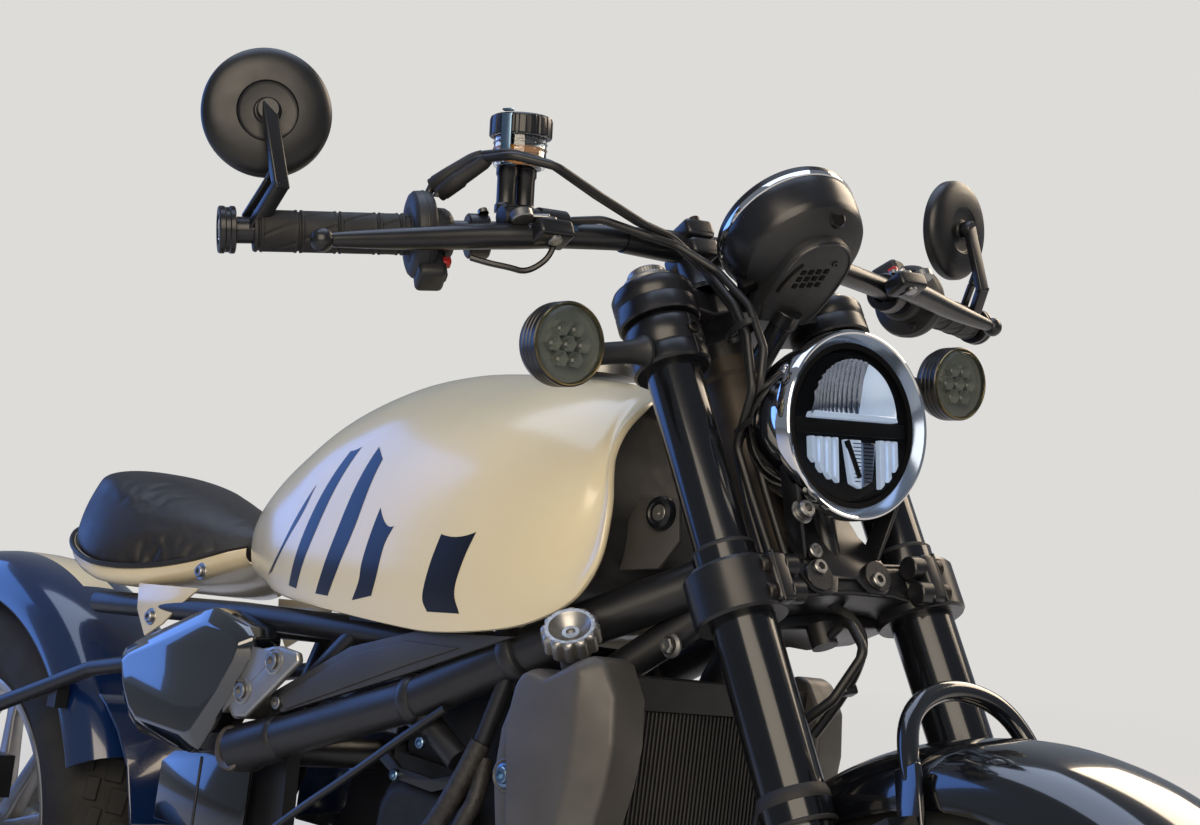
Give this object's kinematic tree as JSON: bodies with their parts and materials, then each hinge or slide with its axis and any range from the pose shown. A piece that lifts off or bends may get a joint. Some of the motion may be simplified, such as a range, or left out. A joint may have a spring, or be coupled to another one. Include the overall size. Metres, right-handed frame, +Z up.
{
  "type": "bobber motorcycle",
  "caption": "Low two-wheeled bobber motorcycle leaning on its side stand, with wide handlebar, round headlamp, rounded tank, solo seat and tubular frame.",
  "frame": {"origin": "bottom centre of the parked machine's box, on the ground", "axes": "+X forward, +Y to the machine's left, +Z up"},
  "size_m": [2.2354, 0.8896, 1.1776],
  "materials": {
    "bare_alloy": "cast, satin",
    "blue_black": "gloss deep blue-black with ivory stripe",
    "cable_black": "satin sheath",
    "chain_steel": "oiled",
    "chrome": "polished",
    "dark_alloy": "cast, dark grey satin",
    "exhaust_steel": "dark satin",
    "fork_gunmetal": "gloss dark gunmetal",
    "frame_black": "satin black powder coat",
    "gloss_black": "gloss blue-black",
    "grip_rubber": "ribbed",
    "ivory_paint": "gloss ivory with dark stripes",
    "ivory_steel": "satin ivory",
    "lens": "clear",
    "matte_black": "matt black",
    "mirror": "mirror",
    "radiator_black": "black fins",
    "red_lens": "red",
    "satin_black": "satin black",
    "seat_leather": "black, fine grain",
    "shroud_bronze": "bronze grey, textured",
    "smoke_lens": "smoked clear",
    "steel": "bare",
    "tyre_rubber": "matt",
    "wheel_silver": "cast silver"
  },
  "bodies": {
    "chassis": {"frame": "frame_black", "engine_case": "dark_alloy", "cylinder_head": "dark_alloy", "engine_covers": "dark_alloy", "radiator": "radiator_black", "radiator_shrouds": "shroud_bronze", "radiator_cap": "bare_alloy", "fuel_tank": "ivory_paint", "tank_side_panels": "matte_black", "frame_plates": "bare_alloy", "side_covers": "gloss_black", "key_lock": "matte_black", "seat_cushion": "seat_leather", "seat_pan": "ivory_steel", "swingarm": "frame_black", "swingarm_pivot": "steel", "rear_axle": "steel", "rear_shock": "satin_black", "rear_caliper": "satin_black", "rear_fender": "blue_black", "fender_struts": "frame_black", "tail_lamp": "red_lens", "plate_holder": "matte_black", "rear_indicators": "smoke_lens", "exhaust": "exhaust_steel", "foot_controls": "satin_black", "drive_chain": "chain_steel"},
    "steering": {"fork_tubes": "fork_gunmetal", "fork_sliders": "dark_alloy", "front_axle": "steel", "lower_clamp": "dark_alloy", "upper_clamp": "satin_black", "handlebar": "satin_black", "grips": "grip_rubber", "switch_housings": "matte_black", "hand_levers": "satin_black", "brake_reservoir": "matte_black", "mirror_arms": "satin_black", "mirror_shells": "matte_black", "mirror_glasses": "mirror", "front_indicators": "smoke_lens", "headlight_bucket": "chrome", "headlight_rim": "chrome", "headlight_lens": "lens", "gauge_pod": "matte_black", "gauge_rim": "gloss_black", "front_fender": "gloss_black", "fork_brace": "satin_black", "front_caliper": "satin_black", "brake_hose": "cable_black", "cables": "cable_black"},
    "front_wheel": {"front_tyre": "tyre_rubber", "front_wheel": "wheel_silver", "front_disc": "steel"},
    "rear_wheel": {"rear_tyre": "tyre_rubber", "rear_wheel": "wheel_silver", "rear_disc": "steel", "rear_sprocket": "steel"},
    "stand": {"side_stand": "frame_black"},
    "cap": {"filler_cap": "bare_alloy"}
  },
  "joints": [
    {"name": "steering", "type": "hinge", "parent": "chassis", "child": "steering", "pos_m": [0.47786, -0.05089, 0.81989], "axis": [-0.4695, 0.1503, 0.8701], "range_deg": [-23.6, 48.4]},
    {"name": "front_wheel_spin", "type": "hinge", "parent": "steering", "child": "front_wheel", "pos_m": [0.79404, -0.1464, 0.31738], "axis": [0.1896, 0.9796, -0.0669], "continuous": true},
    {"name": "rear_wheel_spin", "type": "hinge", "parent": "chassis", "child": "rear_wheel", "pos_m": [-0.69014, -0.13736, 0.31931], "axis": [0, 0.9854, -0.1702], "continuous": true},
    {"name": "stand_fold", "type": "hinge", "parent": "chassis", "child": "stand", "pos_m": [-0.03964, -0.03941, 0.22831], "axis": [0.1619, 0.8304, 0.5331], "range_deg": [0, 98]},
    {"name": "cap_hinge", "type": "hinge", "parent": "chassis", "child": "cap", "pos_m": [0.31536, -0.03336, 0.92139], "axis": [0, 0.9854, -0.1702], "range_deg": [0, 95]}
  ]
}
